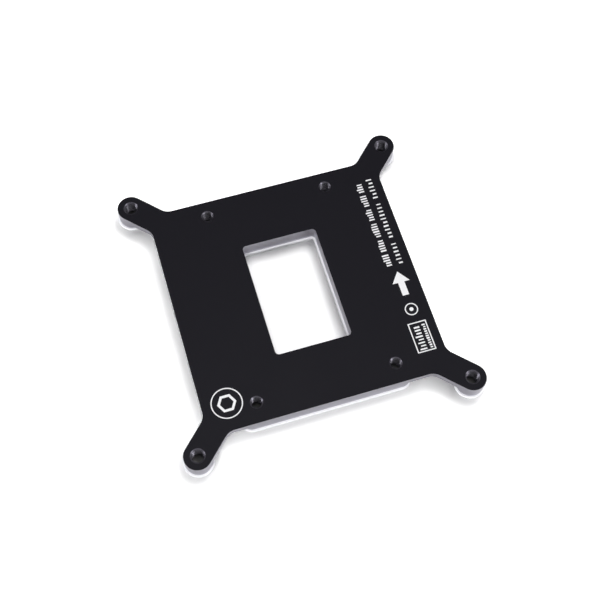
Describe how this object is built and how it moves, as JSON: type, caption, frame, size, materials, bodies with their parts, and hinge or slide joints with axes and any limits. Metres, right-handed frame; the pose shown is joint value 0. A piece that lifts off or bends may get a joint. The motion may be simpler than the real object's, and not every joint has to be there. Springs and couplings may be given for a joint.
{
  "type": "cpu cooler backplate",
  "caption": "Flat square metal plate with an arm at each corner, a rectangular window, tapped holes and insulating pads, that clamps a processor cooler from behind a main board.",
  "frame": {"origin": "middle of the arms' hole pattern, at the height of the surface that the pads lie on", "axes": "+Z out of the black outer face, away from the board; +Y along the window's length, towards the edge whose pair of body holes is closer together; +X to the right, seen from the black face"},
  "size_m": [0.0868, 0.0868, 0.0056],
  "materials": {
    "plate_metal": "black anodised outer face, bare machined walls and board side",
    "insulating_pad": "white insulating sheet with adhesive"
  },
  "bodies": {
    "root": {"backplate": "plate_metal", "centre_pad": "insulating_pad", "boss_pad_near_left": "insulating_pad", "boss_pad_near_right": "insulating_pad", "boss_pad_far_left": "insulating_pad", "boss_pad_far_right": "insulating_pad"}
  },
  "joints": []
}
